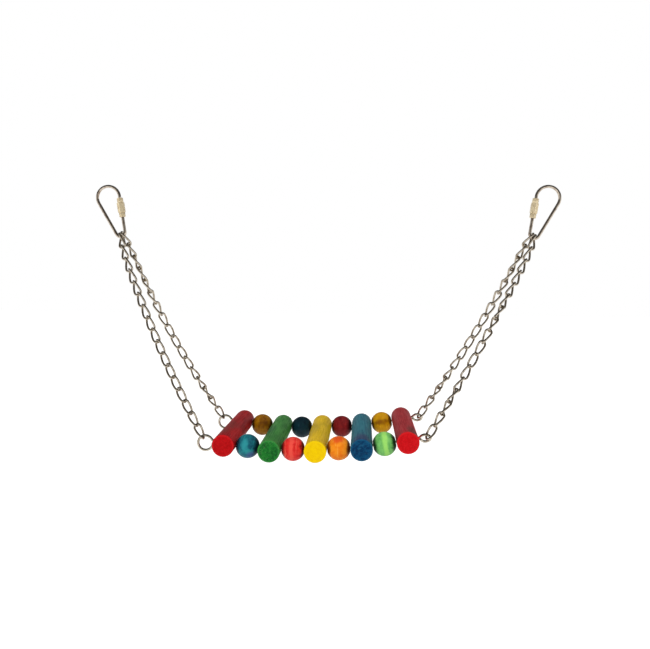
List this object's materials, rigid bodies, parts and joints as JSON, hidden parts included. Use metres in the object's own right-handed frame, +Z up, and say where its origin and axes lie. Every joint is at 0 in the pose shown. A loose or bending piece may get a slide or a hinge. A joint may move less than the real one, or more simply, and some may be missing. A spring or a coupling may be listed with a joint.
{
  "type": "wooden bird bridge",
  "caption": "Hanging bridge for pet birds: stained wooden rungs and beads on steel wires, carried by twisted-link chains from screw quick links.",
  "frame": {"origin": "midway between the two quick links, at the height where the cage bars bear inside their bows", "axes": "+X along the bridge from the left quick link to the right one, +Y along the rungs from front to rear, +Z up"},
  "size_m": [0.3494, 0.09, 0.2006],
  "materials": {
    "rung_red": "stained, satin",
    "rung_green": "stained, satin",
    "rung_yellow": "stained, satin",
    "rung_blue": "stained, satin",
    "bead_teal": "stained, satin",
    "bead_red": "stained, satin",
    "bead_orange": "stained, satin",
    "bead_light_green": "stained, satin",
    "bead_yellow": "stained, satin",
    "bead_navy": "stained, satin",
    "bead_dark_red": "stained, satin",
    "wire_steel": "nickel plated",
    "chain_steel": "nickel plated",
    "hardware_steel": "nickel plated"
  },
  "bodies": {
    "quick_links": {"quick_link_left": "hardware_steel", "quick_link_right": "hardware_steel"},
    "left_sleeve": {"sleeve_left": "hardware_steel"},
    "right_sleeve": {"sleeve_right": "hardware_steel"},
    "top_links": {"chain_left_front_link_1": "chain_steel", "chain_left_rear_link_1": "chain_steel", "chain_right_front_link_1": "chain_steel", "chain_right_rear_link_1": "chain_steel"},
    "left_chains": {"chain_left_front_link_2_3": "chain_steel", "chain_left_front_link_4_5": "chain_steel", "chain_left_front_link_6_7": "chain_steel", "chain_left_front_link_8_9": "chain_steel", "chain_left_front_link_10_11": "chain_steel", "chain_left_front_link_12_13": "chain_steel", "chain_left_front_link_14_15": "chain_steel", "chain_left_front_link_16_17": "chain_steel", "chain_left_rear_link_2_3": "chain_steel", "chain_left_rear_link_4_5": "chain_steel", "chain_left_rear_link_6_7": "chain_steel", "chain_left_rear_link_8_9": "chain_steel", "chain_left_rear_link_10_11": "chain_steel", "chain_left_rear_link_12_13": "chain_steel", "chain_left_rear_link_14_15": "chain_steel", "chain_left_rear_link_16_17": "chain_steel"},
    "right_chains": {"chain_right_front_link_2_3": "chain_steel", "chain_right_front_link_4_5": "chain_steel", "chain_right_front_link_6_7": "chain_steel", "chain_right_front_link_8_9": "chain_steel", "chain_right_front_link_10_11": "chain_steel", "chain_right_front_link_12_13": "chain_steel", "chain_right_front_link_14_15": "chain_steel", "chain_right_front_link_16_17": "chain_steel", "chain_right_rear_link_2_3": "chain_steel", "chain_right_rear_link_4_5": "chain_steel", "chain_right_rear_link_6_7": "chain_steel", "chain_right_rear_link_8_9": "chain_steel", "chain_right_rear_link_10_11": "chain_steel", "chain_right_rear_link_12_13": "chain_steel", "chain_right_rear_link_14_15": "chain_steel", "chain_right_rear_link_16_17": "chain_steel"},
    "deck": {"rung_1_red": "rung_red", "rung_2_green": "rung_green", "rung_3_yellow": "rung_yellow", "rung_4_blue": "rung_blue", "rung_5_red": "rung_red", "deck_wire_front": "wire_steel", "deck_wire_rear": "wire_steel"},
    "front_bead_1": {"bead_front_1": "bead_teal"},
    "front_bead_2": {"bead_front_2": "bead_red"},
    "front_bead_3": {"bead_front_3": "bead_orange"},
    "front_bead_4": {"bead_front_4": "bead_light_green"},
    "rear_bead_1": {"bead_rear_1": "bead_yellow"},
    "rear_bead_2": {"bead_rear_2": "bead_navy"},
    "rear_bead_3": {"bead_rear_3": "bead_dark_red"},
    "rear_bead_4": {"bead_rear_4": "bead_yellow"}
  },
  "joints": [
    {"name": "left_gate", "type": "slide", "parent": "quick_links", "child": "left_sleeve", "axis": [0.1438, 0, -0.9896], "range_m": [0, 0.0095]},
    {"name": "right_gate", "type": "slide", "parent": "quick_links", "child": "right_sleeve", "axis": [-0.1438, 0, -0.9896], "range_m": [0, 0.0095]},
    {"name": "swing", "type": "hinge", "parent": "quick_links", "child": "top_links", "pos_m": [0, -0.0003, -0.03625], "axis": [1, 0, 0], "range_deg": [-20, 20]},
    {"name": "sway", "type": "hinge", "parent": "top_links", "child": "left_chains", "pos_m": [-0.15233, 0, -0.04368], "axis": [0, 1, 0], "range_deg": [-4, 4]},
    {"name": "right_chain_sway", "type": "hinge", "parent": "top_links", "child": "right_chains", "pos_m": [0.15146, 0, -0.0433], "axis": [0, 1, 0], "range_deg": [-4.3, 4.3]},
    {"name": "deck_tilt", "type": "hinge", "parent": "left_chains", "child": "deck", "pos_m": [-0.08475, 0, -0.18185], "axis": [0, 1, 0], "range_deg": [-7.7, 7.7]},
    {"name": "front_bead_1_spin", "type": "hinge", "parent": "deck", "child": "front_bead_1", "pos_m": [-0.05173, -0.0355, -0.18842], "axis": [0.9947, 0, -0.1024], "continuous": true},
    {"name": "front_bead_2_spin", "type": "hinge", "parent": "deck", "child": "front_bead_2", "pos_m": [-0.01899, -0.0355, -0.18978], "axis": [0.9999, 0, 0.0132], "continuous": true},
    {"name": "front_bead_3_spin", "type": "hinge", "parent": "deck", "child": "front_bead_3", "pos_m": [0.01379, -0.0355, -0.18855], "axis": [0.9981, 0, 0.0619], "continuous": true},
    {"name": "front_bead_4_spin", "type": "hinge", "parent": "deck", "child": "front_bead_4", "pos_m": [0.04633, -0.0355, -0.18474], "axis": [0.9843, 0, 0.1767], "continuous": true},
    {"name": "rear_bead_1_spin", "type": "hinge", "parent": "deck", "child": "rear_bead_1", "pos_m": [-0.05173, 0.0355, -0.18842], "axis": [0.9947, 0, -0.1024], "continuous": true},
    {"name": "rear_bead_2_spin", "type": "hinge", "parent": "deck", "child": "rear_bead_2", "pos_m": [-0.01899, 0.0355, -0.18978], "axis": [0.9999, 0, 0.0132], "continuous": true},
    {"name": "rear_bead_3_spin", "type": "hinge", "parent": "deck", "child": "rear_bead_3", "pos_m": [0.01379, 0.0355, -0.18855], "axis": [0.9981, 0, 0.0619], "continuous": true},
    {"name": "rear_bead_4_spin", "type": "hinge", "parent": "deck", "child": "rear_bead_4", "pos_m": [0.04633, 0.0355, -0.18474], "axis": [0.9843, 0, 0.1767], "continuous": true}
  ],
  "couplings": [
    {"joint": "right_chain_sway", "follows": "sway", "ratio": 1.0586},
    {"joint": "deck_tilt", "follows": "sway", "ratio": -1.9039}
  ]
}
